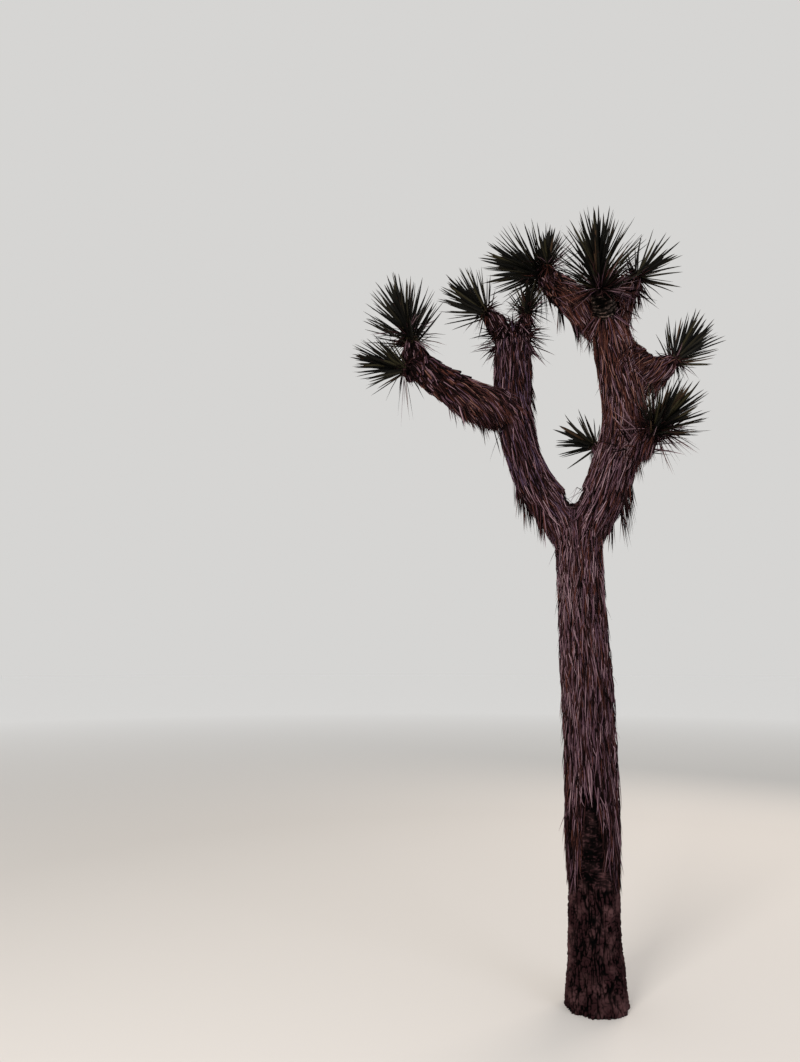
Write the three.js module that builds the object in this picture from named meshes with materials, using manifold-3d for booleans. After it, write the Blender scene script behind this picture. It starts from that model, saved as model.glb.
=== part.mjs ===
// A joshua tree, 4.5 m tall: a straight trunk that forks into two boughs, their arms and short
// spurs, and a rosette of dagger leaves on the end of each. Millimetres, +Z up, with the origin in
// the middle of the flat cut at the ground. The tree is seen from -Y, with +X to the right.

import * as THREE from "three";
import { mergeVertices } from "three/addons/utils/BufferGeometryUtils.js";
import Module from "manifold-3d";

const wasm = await Module();
wasm.setup();

const gap = 0.3; // between pieces that meet
const goldenAngle = Math.PI * (3 - Math.sqrt(5));

// Limbs
const ringStep = 115; // between the rings of a limb
const sidesPerRadius = 0.1; // sides of a limb for each millimetre of its radius
const fewestSides = 8;
const mostSides = 16;
const lump = 0.035; // how far a limb's skin swells and dips, as a share of its radius
const domeTaper = [0.93, 0.6]; // the last two rings of a rounded tip, as shares of its radius

// Long ridges down the trunk: how many go round it, and how far they turn in a metre, in radians
const ridgeHeight = 9;
const ridgeSides = 24;
const ridgeRuns = [
  { around: 7, turn: 1.9 },
  { around: 10, turn: -2.7 },
];

// Tufts of the thatch that stand out from the trunk, by the golden angle round it
const tuftWidth = 64;
const tuftThickness = 26;
const tuftLength = 230;
const tuftOut = 0.15; // how much they stand out, against 1 for hanging straight
const tuftLengthSpread = 0.2;
const tuftTurnSpread = 0.3; // radians

// Leaves, which are fewer and wider than life
const leafWidth = 25;
const leafThickness = 8;
const bladeShoulder = 0.33; // where a blade is widest, as a share of its length
const rootDepth = 22; // how far a blade's root is sunk in what carries it
const bladeClearance = 3; // between a blade and any other piece
const trims = [1, 0.85, 0.7, 0.55]; // the lengths that a crowded leaf is cut to, in turn
const youngest = 0.86; // length of the youngest and the oldest leaves, as a share of the longest
const opening = 0.62; // under 1, the leaves open quickly from the stem's axis
const lengthSpread = 0.07; // how far a leaf's length, fold and turn stray from the rule
const foldSpread = 5; // degrees
const turnSpread = 0.12; // radians

// The leafy stem inside a rosette
const stemTaper = [0.86, 0.79, 0.72, 0.57, 0.16]; // its radius at even steps, by its limb's tip
const stemTurn = 0.4; // the share of it that still heads the limb's way
const budLength = 40; // it runs on this far between the youngest leaves
const stemSides = 8;
const rootRange = [0.94, 0.08]; // where the youngest and the oldest leaves root, by its length

// Dead leaves that hang below the limbs
const fringeWidth = 20;
const fringeThickness = 7;
const fringeLengthSpread = 0.25;
const fringeArc = 1.1; // radians either way from straight below the limb
const fringeBack = 0.5; // how much they lean back down the limb, against 1 for hanging straight
const fringeOut = 0.42; // how much they stand out from it
const fringeOutSpread = 0.15;

// Every limb: the way it passes from its foot, inside its parent, to its tip, and its radius at
// even steps along it, with the thatch of dead leaves. A tip is rounded, or cut flat to carry a
// rosette. tufts stand out from the thatch, and fringe is the dead leaves that hang below it, both
// between two shares of its length.
const limbs = {
  trunk: {
    path: [[0, 0, 0], [0, 0, 240], [9, 0, 600], [12, 0, 1150], [8, 0, 1950], [0, 0, 2590]],
    radii: [162, 138, 130, 143, 140, 135, 133, 127, 126, 138],
    tip: "dome",
    ridged: true,
    tufts: { count: 60, from: 0.33, to: 0.93 },
  },
  right_bough: {
    path: [
      [0, 0, 2360], [48, 5, 2500], [130, 16, 2635], [213, 33, 2845], [283, 50, 3115], [253, 35, 3470],
      [210, 10, 3745],
    ],
    radii: [96, 122, 125, 124, 122, 121, 118, 112, 98],
    tip: "dome",
    fringe: { leaves: 18, from: 0.16, to: 0.62, length: 205 },
  },
  left_bough: {
    path: [
      [0, 0, 2350], [-65, -8, 2490], [-138, -18, 2605], [-230, -32, 2745], [-305, -50, 2955], [-345, -50, 3225],
    ],
    radii: [86, 110, 112, 104, 98, 103, 96],
    tip: "dome",
    fringe: { leaves: 16, from: 0.18, to: 0.6, length: 190 },
  },
  left_upright: {
    path: [[-345, -50, 3125], [-345, -10, 3410], [-345, 60, 3745]],
    radii: [84, 108, 110, 104, 96],
    tip: "dome",
    fringe: { leaves: 10, from: 0.5, to: 0.95, length: 150 },
  },
  left_arm: {
    path: [[-350, -60, 3175], [-530, -130, 3225], [-675, -195, 3295], [-790, -240, 3370], [-855, -260, 3425]],
    radii: [88, 112, 104, 92, 80, 70],
    tip: "dome",
    fringe: { leaves: 14, from: 0.2, to: 0.72, length: 120 },
  },
  right_arm: {
    path: [[250, 40, 3430], [425, 108, 3440], [575, 160, 3480]],
    radii: [124, 126, 94, 56],
    tip: "flat",
    fringe: { leaves: 6, from: 0.5, to: 0.9, length: 140 },
  },
  top_left_arm: {
    path: [[190, 25, 3675], [30, 126, 3905], [-138, 224, 4138]],
    radii: [82, 98, 90, 78, 60],
    tip: "flat",
    fringe: { leaves: 8, from: 0.35, to: 0.8, length: 160 },
  },
  top_right_arm: {
    path: [[250, 30, 3655], [310, 110, 3880], [395, 190, 4040]],
    radii: [70, 76, 64, 48],
    tip: "flat",
    fringe: { leaves: 3, from: 0.5, to: 0.9, length: 130 },
  },
  top_front_spur: {
    path: [[205, -5, 3660], [190, -105, 3755], [175, -160, 3815]],
    radii: [62, 78, 70],
    tip: "flat",
  },
  top_left_small_spur: {
    path: [[-72, 178, 4050], [-108, 148, 4125], [-120, 130, 4158]],
    radii: [34, 38, 30],
    tip: "flat",
  },
  lower_right_spur: {
    path: [[310, 10, 2930], [370, -100, 2940], [410, -165, 2965]],
    radii: [60, 68, 52],
    tip: "flat",
  },
  inner_spur: {
    path: [[215, 70, 2930], [160, 165, 2970], [125, 215, 3010]],
    radii: [38, 46, 38],
    tip: "flat",
  },
  left_upright_left_spur: {
    path: [[-360, 50, 3670], [-435, 30, 3770], [-490, 5, 3825]],
    radii: [60, 66, 46],
    tip: "flat",
  },
  left_upright_right_spur: {
    path: [[-325, 50, 3670], [-280, 95, 3770], [-265, 120, 3840]],
    radii: [50, 54, 36],
    tip: "flat",
  },
  left_arm_upper_spur: {
    path: [[-840, -255, 3400], [-885, -268, 3485], [-900, -275, 3550]],
    radii: [60, 64, 52],
    tip: "flat",
  },
  left_arm_lower_spur: {
    path: [[-845, -258, 3410], [-890, -300, 3390], [-920, -330, 3385]],
    radii: [52, 58, 44],
    tip: "flat",
  },
};

// Every rosette: the limb that carries it, the way it faces, the length of its leafy stem, the
// length of its leaves, how many there are, and how far the oldest fold back from the stem's axis.
const rosettes = {
  top_front_rosette: {
    on: "top_front_spur", faces: [0.02, -0.4, 1], stem: 150, leaf: 295, leaves: 54, fold: 68,
  },
  top_left_rosette: {
    on: "top_left_arm", faces: [-0.95, 0, 0.4], stem: 120, leaf: 315, leaves: 50, fold: 76,
  },
  top_left_small_rosette: {
    on: "top_left_small_spur", faces: [0.05, -0.2, 1], stem: 42, leaf: 165, leaves: 22, fold: 56,
  },
  top_right_rosette: {
    on: "top_right_arm", faces: [0.88, 0.35, 0.78], stem: 52, leaf: 245, leaves: 34, fold: 62,
  },
  right_arm_rosette: {
    on: "right_arm", faces: [0.72, 0.3, 0.95], stem: 62, leaf: 252, leaves: 36, fold: 57,
  },
  lower_right_rosette: {
    on: "lower_right_spur", faces: [0.85, -0.38, 0.72], stem: 66, leaf: 245, leaves: 38, fold: 61,
  },
  inner_rosette: {
    on: "inner_spur", faces: [-0.88, 0.3, 0.62], stem: 44, leaf: 200, leaves: 28, fold: 57,
  },
  left_upright_left_rosette: {
    on: "left_upright_left_spur", faces: [-0.78, -0.1, 0.74], stem: 62, leaf: 240, leaves: 38, fold: 57,
  },
  left_upright_right_rosette: {
    on: "left_upright_right_spur", faces: [0.12, -0.1, 1], stem: 52, leaf: 160, leaves: 22, fold: 58,
  },
  left_arm_upper_rosette: {
    on: "left_arm_upper_spur", faces: [-0.22, -0.12, 1], stem: 135, leaf: 272, leaves: 50, fold: 70,
  },
  left_arm_lower_rosette: {
    on: "left_arm_lower_spur", faces: [-1, -0.4, 0.22], stem: 58, leaf: 232, leaves: 36, fold: 52,
  },
};

// The same numbers on every run, between -1 and 1
function seeded(seed) {
  let state = seed;
  return () => {
    state = (state * 16807) % 2147483647;
    return (state / 2147483647) * 2 - 1;
  };
}

const vector = ([x, y, z]) => new THREE.Vector3(x, y, z);
const down = new THREE.Vector3(0, 0, -1);

// A closed geometry as a solid
function solidOf(geometry) {
  geometry.deleteAttribute("normal");
  geometry.deleteAttribute("uv");
  const merged = mergeVertices(geometry, 0.001);
  return new wasm.Manifold(
    new wasm.Mesh({
      numProp: 3,
      vertProperties: merged.attributes.position.array,
      triVerts: new Uint32Array(merged.index.array),
    }),
  );
}

function geometryOf(solid) {
  const { numProp, vertProperties, triVerts } = solid.getMesh();
  const positions = new Float32Array((vertProperties.length / numProp) * 3);
  for (let i = 0; i * 3 < positions.length; i++) {
    positions.set(vertProperties.subarray(i * numProp, i * numProp + 3), i * 3);
  }
  const geometry = new THREE.BufferGeometry();
  geometry.setAttribute("position", new THREE.BufferAttribute(positions, 3));
  geometry.setIndex(new THREE.BufferAttribute(triVerts, 1));
  geometry.computeVertexNormals();
  return geometry;
}

// A value along a list of evenly spaced sizes
function sizeAlong(sizes, share) {
  const place = Math.min(Math.max(share, 0), 1) * (sizes.length - 1);
  const before = Math.min(Math.floor(place), sizes.length - 2);
  return THREE.MathUtils.lerp(sizes[before], sizes[before + 1], place - before);
}

// A limb's centre line, its radius along it, and its frames
function growLimb({ path, radii, tip, ridged = false }, index) {
  const atGround = path[0][2] === 0;
  const curve = new THREE.CatmullRomCurve3(path.map(vector));
  const length = curve.getLength();
  const rings = Math.ceil(length / ringStep);
  const widest = Math.max(...radii);
  const round = THREE.MathUtils.clamp(Math.round(widest * sidesPerRadius), fewestSides, mostSides);
  const sides = ridged ? ridgeSides : round;
  const frames = curve.computeFrenetFrames(rings);
  return { curve, radii, tip, atGround, rings, sides, frames, ridged, phase: index * 1.7 };
}

// How far a ridged limb's skin stands out at a height, in a direction round the upright
function ridgeAt(height, out) {
  const angle = Math.atan2(out.y, out.x);
  const waves = ridgeRuns.map(({ around, turn }) => Math.sin(around * angle + (turn * height) / 1000));
  return 0.5 * ridgeHeight * (waves[0] + waves[1]);
}

// A limb as a solid: a lathe of its radii, bent along its centre line. grow makes it that much
// larger all round, to cut its neighbours clear of it.
function limbSolid({ curve, radii, tip, atGround, rings, sides, frames, ridged, phase }, grow = 0) {
  const profile = [new THREE.Vector2(0, 0)];
  for (let ring = 0; ring <= rings; ring++) {
    profile.push(new THREE.Vector2(sizeAlong(radii, ring / rings), ring));
  }
  if (tip === "dome") {
    profile[rings].x *= domeTaper[0];
    profile[rings + 1].x *= domeTaper[1];
  }
  profile.push(new THREE.Vector2(0, rings));
  const geometry = new THREE.LatheGeometry(profile, sides);
  const positions = geometry.attributes.position;
  for (let i = 0; i < positions.count; i++) {
    const ring = Math.round(positions.getY(i));
    const share = ring / rings;
    const angle = Math.atan2(positions.getX(i), positions.getZ(i));
    const radius = Math.hypot(positions.getX(i), positions.getZ(i));
    const swell = Math.sin(3 * angle + 9 * share + phase) + Math.sin(2 * angle - 17 * share + 2 * phase);
    const out = frames.normals[ring].clone().multiplyScalar(Math.cos(angle));
    out.addScaledVector(frames.binormals[ring], Math.sin(angle));
    const place = curve.getPointAt(share);
    const ridge = ridged ? ridgeAt(place.z, out) : 0;
    const skin = radius > 1 ? radius * (1 + 0.5 * lump * swell) + ridge + grow : 0;
    place.addScaledVector(out, skin);
    const end = ring === 0 ? -1 : ring === rings ? 1 : 0;
    place.addScaledVector(frames.tangents[ring], end * grow);
    if (atGround && ring === 0) place.z = -grow;
    positions.setXYZ(i, place.x, place.y, place.z);
  }
  return solidOf(geometry);
}

// A blade of eight faces from root to tip, lying flat along its side direction. grow makes it that
// much larger all round, to see whether it stands clear.
function bladeSolid({ root, tip, side, width, thickness }, grow = 0) {
  const along = tip.clone().sub(root);
  const across = side.clone().normalize();
  const out = across.clone().cross(along).normalize();
  const geometry = new THREE.OctahedronGeometry(1);
  const positions = geometry.attributes.position;
  for (let i = 0; i < positions.count; i++) {
    const height = positions.getY(i);
    const share = height > 0.5 ? 1 + grow / along.length() : height < -0.5 ? 0 : bladeShoulder;
    const place = root
      .clone()
      .addScaledVector(along, share)
      .addScaledVector(across, positions.getX(i) * (width / 2 + grow))
      .addScaledVector(out, positions.getZ(i) * (thickness / 2 + grow));
    positions.setXYZ(i, place.x, place.y, place.z);
  }
  return solidOf(geometry);
}

const solids = {};

// Whether a blade stands clear of every piece but the one that it grows on
function standsClear(blade, owner) {
  const wide = bladeSolid(blade, bladeClearance);
  return Object.entries(solids).every(([name, solid]) => name === owner || solid.intersect(wide).isEmpty());
}

// Limbs, each cut clear of those made before it
const grown = Object.fromEntries(Object.entries(limbs).map(([name, limb], i) => [name, growLimb(limb, i)]));
for (const [name, limb] of Object.entries(grown)) {
  let solid = limbSolid(limb);
  for (const earlier of Object.keys(solids)) solid = solid.subtract(limbSolid(grown[earlier], gap));
  solids[name] = solid;
}

// A rosette's stem starts clear of its limb's tip and turns to the way that the rosette faces
function rosetteStem({ on, faces, stem }) {
  const carrier = grown[on];
  const heading = carrier.curve.getTangentAt(1);
  const foot = carrier.curve.getPointAt(1).addScaledVector(heading, gap);
  const turn = foot.clone().addScaledVector(heading, stem * stemTurn);
  const end = turn.clone().addScaledVector(vector(faces).normalize(), stem * (1 - stemTurn) + budLength);
  const curve = new THREE.QuadraticBezierCurve3(foot, turn, end);
  const radii = stemTaper.map((share) => share * carrier.radii[carrier.radii.length - 1]);
  const rings = stemTaper.length - 1;
  const frames = curve.computeFrenetFrames(rings);
  return { curve, radii, tip: "flat", rings, sides: stemSides, frames, phase: 0 };
}

const stems = {};
for (const [name, rosette] of Object.entries(rosettes)) stems[name] = rosetteStem(rosette);

// A rosette's space is all that lies nearer to its stem's end than to any other's
function ownSpace(name, place) {
  const own = place.distanceTo(stems[name].curve.getPoint(1));
  return Object.entries(stems).every(
    ([other, stem]) => other === name || place.distanceTo(stem.curve.getPoint(1)) > own,
  );
}

// The stems, each cut clear of the limbs and of the stems made before it
const made = Object.values(grown);
for (const [name, stem] of Object.entries(stems)) {
  let solid = limbSolid(stem);
  for (const other of made) solid = solid.subtract(limbSolid(other, gap));
  solids[name] = solid;
  made.push(stem);
}

// Leaves stand round the stem by the golden angle, the youngest along its axis and the oldest
// folded back. One that would leave the rosette's space or meet another piece is cut shorter, and
// skipped if no trim clears it.
Object.entries(rosettes).forEach(([name, rosette], i) => {
  const random = seeded(101 + 37 * i);
  const axis = vector(rosette.faces).normalize();
  const start = new THREE.Vector3(1, 0.3, 0.2).cross(axis).normalize();
  for (let leaf = 0; leaf < rosette.leaves; leaf++) {
    const age = (leaf + 0.5) / rosette.leaves;
    const fold = THREE.MathUtils.degToRad(rosette.fold * age ** opening + foldSpread * random());
    const round = start.clone().applyAxisAngle(axis, leaf * goldenAngle + turnSpread * random());
    const heading = axis.clone().multiplyScalar(Math.cos(fold)).addScaledVector(round, Math.sin(fold));
    const root = stems[name].curve.getPointAt(THREE.MathUtils.lerp(...rootRange, age));
    const side = axis.clone().cross(round);
    const growth = youngest + (1 - youngest) * Math.sin(Math.PI * age) + lengthSpread * random();
    for (const trim of trims) {
      const tip = root.clone().addScaledVector(heading, rosette.leaf * growth * trim + rootDepth);
      const blade = { root, tip, side, width: leafWidth, thickness: leafThickness };
      if (!ownSpace(name, tip) || !standsClear(blade, name)) continue;
      solids[name] = solids[name].add(bladeSolid(blade));
      break;
    }
  }
});

// Tufts of dead leaves that hang down the limb and stand out a little from it
Object.entries(limbs).forEach(([name, { tufts }], i) => {
  if (!tufts) return;
  const random = seeded(307 + 41 * i);
  const limb = grown[name];
  for (let tuft = 0; tuft < tufts.count; tuft++) {
    const share = THREE.MathUtils.lerp(tufts.from, tufts.to, (tuft + 0.5) / tufts.count);
    const angle = tuft * goldenAngle + tuftTurnSpread * random();
    const tangent = limb.curve.getTangentAt(share);
    const out = new THREE.Vector3(Math.cos(angle), Math.sin(angle), 0);
    out.addScaledVector(tangent, -out.dot(tangent)).normalize();
    const root = limb.curve.getPointAt(share).addScaledVector(out, sizeAlong(limb.radii, share) - rootDepth);
    const heading = tangent.clone().negate().addScaledVector(out, tuftOut).normalize();
    const tip = root.clone().addScaledVector(heading, tuftLength * (1 + tuftLengthSpread * random()));
    const blade = { root, tip, side: heading.cross(out), width: tuftWidth, thickness: tuftThickness };
    if (standsClear(blade, name)) solids[name] = solids[name].add(bladeSolid(blade));
  }
});

// Dead leaves that hang below the leaning limbs. They point back down the limb and droop.
Object.entries(limbs).forEach(([name, { fringe }], i) => {
  if (!fringe) return;
  const random = seeded(911 + 53 * i);
  const limb = grown[name];
  for (let leaf = 0; leaf < fringe.leaves; leaf++) {
    const share = THREE.MathUtils.lerp(fringe.from, fringe.to, (leaf + 0.5) / fringe.leaves);
    const tangent = limb.curve.getTangentAt(share);
    const under = down.clone().addScaledVector(tangent, tangent.z).normalize();
    const out = under.applyAxisAngle(tangent, fringeArc * random());
    const root = limb.curve.getPointAt(share).addScaledVector(out, sizeAlong(limb.radii, share) - rootDepth);
    const heading = down.clone().addScaledVector(tangent, -fringeBack);
    heading.addScaledVector(out, fringeOut + fringeOutSpread * random()).normalize();
    const tip = root.clone().addScaledVector(heading, fringe.length * (1 + fringeLengthSpread * random()));
    const blade = { root, tip, side: heading.cross(out), width: fringeWidth, thickness: fringeThickness };
    if (standsClear(blade, name)) solids[name] = solids[name].add(bladeSolid(blade));
  }
});

const barkLook = new THREE.MeshStandardMaterial({ color: 0x4a3a38, roughness: 0.95, metalness: 0 });
const thatchLook = new THREE.MeshStandardMaterial({ color: 0x5a4744, roughness: 0.9, metalness: 0 });
const leafLook = new THREE.MeshStandardMaterial({ color: 0x343a26, roughness: 0.55, metalness: 0 });

const tree = new THREE.Group();
for (const [name, solid] of Object.entries(solids)) {
  const look = name in rosettes ? leafLook : name === "trunk" ? barkLook : thatchLook;
  const mesh = new THREE.Mesh(geometryOf(solid), look);
  mesh.name = name;
  tree.add(mesh);
}

export default tree;
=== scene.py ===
# A joshua tree, 4.5 m tall: furrowed bark at the foot of its trunk, a thatch of dead leaves that
# hangs down the trunk and every bough, and a rosette of dagger leaves on each branch end.
# Metres, +Z up, with the origin in the middle of the trunk's cut. Seen from -Y, +X is to the right.

import math

import bmesh
import bpy
import numpy as np
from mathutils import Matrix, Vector, noise


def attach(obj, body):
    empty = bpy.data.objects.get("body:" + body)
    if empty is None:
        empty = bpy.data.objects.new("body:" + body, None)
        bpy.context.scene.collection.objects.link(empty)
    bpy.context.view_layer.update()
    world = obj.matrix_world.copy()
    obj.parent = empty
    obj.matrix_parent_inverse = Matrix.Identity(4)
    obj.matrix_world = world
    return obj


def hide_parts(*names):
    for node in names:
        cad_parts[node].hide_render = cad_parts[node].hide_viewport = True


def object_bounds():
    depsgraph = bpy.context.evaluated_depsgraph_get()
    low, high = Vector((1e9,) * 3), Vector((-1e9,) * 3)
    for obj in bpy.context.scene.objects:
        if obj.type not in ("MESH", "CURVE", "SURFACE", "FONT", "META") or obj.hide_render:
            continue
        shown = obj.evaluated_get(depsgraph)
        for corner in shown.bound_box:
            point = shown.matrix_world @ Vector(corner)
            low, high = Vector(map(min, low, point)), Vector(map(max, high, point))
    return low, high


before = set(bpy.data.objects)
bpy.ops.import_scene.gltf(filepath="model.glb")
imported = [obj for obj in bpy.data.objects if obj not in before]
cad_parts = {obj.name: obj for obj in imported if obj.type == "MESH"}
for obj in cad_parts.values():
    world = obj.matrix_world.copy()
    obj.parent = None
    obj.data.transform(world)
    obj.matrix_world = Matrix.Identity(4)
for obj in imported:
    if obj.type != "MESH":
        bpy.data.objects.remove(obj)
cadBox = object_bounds()
print("frame loaded:", len(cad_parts), "nodes")

down = np.array([0.0, 0.0, -1.0])
goldenAngle = math.pi * (3 - math.sqrt(5))
measuredEvery = 3        # of a limb's steps, which distances from it are measured to


# A dictionary whose values also read as attributes
class Rule(dict):
    __getattr__ = dict.__getitem__


seeds = Rule(thatch=500, fringe=911, rosettes=101)


def addObject(name, data, place=(0, 0, 0), turned=(0, 0, 0)):
    added = bpy.data.objects.new(name, data)
    added.location = place
    added.rotation_euler = turned
    bpy.context.scene.collection.objects.link(added)
    return added


# A 26 mm lens at eye height, tilted up and turned to the left of the tree
viewpoint = Rule(place=(0, -4.395, 1.7476), tilt=9.547, turn=13.2725, lens=26, sensor=36)


def placeCamera():
    data = bpy.data.cameras.new("eyeLevel")
    data.lens = viewpoint.lens
    data.sensor_width = viewpoint.sensor
    turned = (math.radians(90 + viewpoint.tilt), 0, math.radians(viewpoint.turn))
    bpy.context.scene.camera = addObject("eyeLevel", data, viewpoint.place, turned)


placeCamera()
print("camera placed")


# Materials

def linear(hexColour):
    channels = [int(hexColour[i:i + 2], 16) / 255 for i in (1, 3, 5)]
    return [c / 12.92 if c <= 0.04045 else ((c + 0.055) / 1.055) ** 2.4 for c in channels] + [1]


# Adds a node with its inputs, each a value or the socket that feeds it, its ramp and its settings
def addNode(tree, kind, inputs=None, output=0, ramp=(), **settings):
    node = tree.nodes.new("ShaderNode" + kind)
    for name, value in settings.items():
        setattr(node, name, value)
    for name, value in (inputs or {}).items():
        if isinstance(value, bpy.types.NodeSocket):
            tree.links.new(value, node.inputs[name])
        else:
            node.inputs[name].default_value = value
    for i, (place, hexColour) in enumerate(ramp):
        element = node.color_ramp.elements[i] if i < 2 else node.color_ramp.elements.new(place)
        element.position = place
        element.color = linear(hexColour)
    return node.outputs[output] if node.outputs else node


def startMaterial(name):
    material = bpy.data.materials.new(name)
    material.use_nodes = True
    material.node_tree.nodes.clear()
    return material, material.node_tree


# The shader, with the grain of its surface as a bump where it has one
def addShader(tree, colour, look, grain=None):
    inputs = {"Base Color": colour, "Roughness": look.roughness, "IOR": look.ior}
    inputs["Specular IOR Level"] = look.specular
    if grain is not None:
        bump = {"Strength": look.bump, "Distance": look.grainDepth, "Height": grain}
        inputs["Normal"] = addNode(tree, "Bump", bump)
    addNode(tree, "OutputMaterial", {"Surface": addNode(tree, "BsdfPrincipled", inputs)})


def addGrain(tree, place, stretch, scale, look):
    stretched = addNode(tree, "Mapping", {"Vector": place, "Scale": stretch})
    inputs = {"Vector": stretched, "Scale": scale, "Detail": look.detail, "Roughness": look.raggedness}
    return addNode(tree, "TexNoise", inputs)


# Both kinds of bark: how much the grain adds to their height, where their colours stand on it, and
# between which levels of a broad noise they bleach
corkGrain = Rule(
    stretch=(1, 1, 0.3), detail=5, raggedness=0.6, grainShare=0.35, stops=(0.4, 0.78, 1),
    blotchDetail=4, bleachFrom=0.48, bleachTo=0.68, bump=0.8, roughness=0.93, specular=0.04, ior=1.45,
)

# Furrowed cork: rough ridges, red-brown and dusty on their faces, with painted shade that goes near black
# in the furrows; all its tones are also darkened as painted shade of the trunk's foot
corkLook = Rule(
    corkGrain, crack="#010101", flank="#090404", face="#251416", weathered="#4b3435",
    blotch=0.09, grain=0.006, grainDepth=0.0012,
)

# The overlapping bases of fallen leaves, pale along their lips, with painted shade that goes black in
# between
leafBaseLook = Rule(
    corkGrain, crack="#040302", flank="#2c1e1a", face="#7c665d", weathered="#9a857b",
    blotch=0.05, grain=0.004, grainDepth=0.0008,
)


def corkMaterial(name, look):
    material, tree = startMaterial(name)
    place = addNode(tree, "TexCoord", output="Object")
    # This attribute sets painted shade: low in furrows, cracks and scars, where the colour goes near black,
    # and high on the faces, which alone bleach
    plateShade = addNode(tree, "Attribute", output="Fac", attribute_name="plateShade")
    inputs = {"Vector": place, "Scale": 1 / look.blotch, "Detail": look.blotchDetail}
    blotch = addNode(tree, "TexNoise", inputs)
    grain = addGrain(tree, place, look.stretch, 1 / look.grain, look)
    height = addNode(tree, "Math", {0: grain, 1: look.grainShare, 2: plateShade}, operation="MULTIPLY_ADD")
    tones = zip(look.stops, (look.crack, look.flank, look.face))
    shade = addNode(tree, "ValToRGB", {"Fac": height}, ramp=tones)
    levels = [(look.bleachFrom, "#000000"), (look.bleachTo, "#ffffff")]
    patches = addNode(tree, "ValToRGB", {"Fac": blotch}, ramp=levels)
    bleach = addNode(tree, "Math", {0: patches, 1: plateShade}, operation="MULTIPLY")
    mixed = {0: bleach, 6: shade, 7: linear(look.weathered)}
    colour = addNode(tree, "Mix", mixed, output=2, data_type="RGBA")
    addShader(tree, colour, look, grain)
    return material


# A blade's long fibres run along it, one every 0.8 mm, drawn 1.6 mm wide to show. Dead blades are
# bleached and matt, and living ones have a hard waxy skin. Both have painted shade towards their
# edges, between two distances from the middle of the blade, for the dark gaps between blades.
fibreLook = Rule(
    fibre=0.0016, run=0.05, detail=3, raggedness=0.6, edgeTone=0.4, stops=(0, 0.3, 0.65),
    bump=0.7, grainDepth=0.0003, ior=1.45,
)
deadSkin = Rule(fibreLook, edge="#0a0505", edgeFrom=0.0009, edgeTo=0.0036, roughness=0.95, specular=0.04)
livingSkin = Rule(fibreLook, edge="#040503", edgeFrom=0.003, edgeTo=0.009, roughness=0.6, specular=0.1)


def bladeMaterial(name, shade, light, skin):
    material, tree = startMaterial(name)
    place = addNode(tree, "UVMap", uv_map="blade")
    fibres = addGrain(tree, place, (1 / skin.fibre, 1 / skin.run, 1), 1, skin)
    across = addNode(tree, "SeparateXYZ", {"Vector": place})
    distance = addNode(tree, "Math", {0: across}, operation="ABSOLUTE")
    # Painted shade: the colour darkens from the middle of the blade towards its edges
    edge = addNode(tree, "MapRange", {0: distance, 1: skin.edgeFrom, 2: skin.edgeTo, 4: skin.edgeTone})
    tone = addNode(tree, "Math", {0: fibres, 1: edge}, operation="SUBTRACT")
    colour = addNode(tree, "ValToRGB", {"Fac": tone}, ramp=zip(skin.stops, (skin.edge, shade, light)))
    addShader(tree, colour, skin, fibres)
    return material


# Dead leaves, from the darkest to the most bleached, then the tan of those that died last and a violet
# that is painted cool shade on the left boughs: the two colours that their fibres run between
deadTints = {
    "Shade": ("#0b0606", "#1b1010"),
    "Umber": ("#251414", "#432a2a"),
    "Rust": ("#361d18", "#613a31"),
    "Mauve": ("#3d2932", "#6a4f5a"),
    "Grey": ("#584249", "#8b6f77"),
    "Pale": ("#725b60", "#a48a8f"),
    "Tan": ("#573a33", "#8d675b"),
    "Violet": ("#332734", "#5d4a60"),
}

# Living leaves, from the darkest to the driest, and their pale roots and brown spines. All are darkened
# near black: painted shade of rosettes lit from behind
livingTints = {
    "Shade": ("#060504", "#0d0c08"),
    "Deep": ("#0c0b07", "#17150e"),
    "Olive": ("#16140d", "#282418"),
    "Moss": ("#201d12", "#35311f"),
    "Dry": ("#2c2118", "#493726"),
    "Root": ("#221e14", "#3e3826"),
    "Spine": ("#130c07", "#261710"),
}

deadMaterials = [bladeMaterial("deadLeaf" + name, *tint, deadSkin) for name, tint in deadTints.items()]
livingMaterials = [bladeMaterial("leaf" + name, *tint, livingSkin) for name, tint in livingTints.items()]
corkBark = corkMaterial("furrowedCork", corkLook)
leafBases = corkMaterial("leafBases", leafBaseLook)
print("materials made")


# Limbs

def unit(vectors):
    return vectors / np.maximum(np.linalg.norm(vectors, axis=-1, keepdims=True), 1e-9)


def dot(a, b):
    return np.sum(a * b, axis=-1, keepdims=True)


# A smooth curve through given points: the centripetal spline that the solids follow
def splineThrough(path, steps=40):
    points = np.array(path, float)
    points = np.vstack([2 * points[0] - points[1], points, 2 * points[-1] - points[-2]])
    spans = np.sqrt(np.linalg.norm(np.diff(points, axis=0), axis=1))
    t = np.linspace(0, 1, steps, endpoint=False)[:, None]
    pieces = []
    for i in range(1, len(points) - 2):
        a, b, c, d = points[i - 1:i + 3]
        before, here, after = spans[i - 1:i + 2]
        leave = here * ((b - a) / before - (c - a) / (before + here) + (c - b) / here)
        arrive = here * ((c - b) / here - (d - b) / (here + after) + (d - c) / after)
        bend = 3 * (c - b) - 2 * leave - arrive
        pieces.append(b + leave * t + bend * t ** 2 + (2 * (b - c) + leave + arrive) * t ** 3)
    return np.vstack(pieces + [points[-2:-1]])


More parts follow.
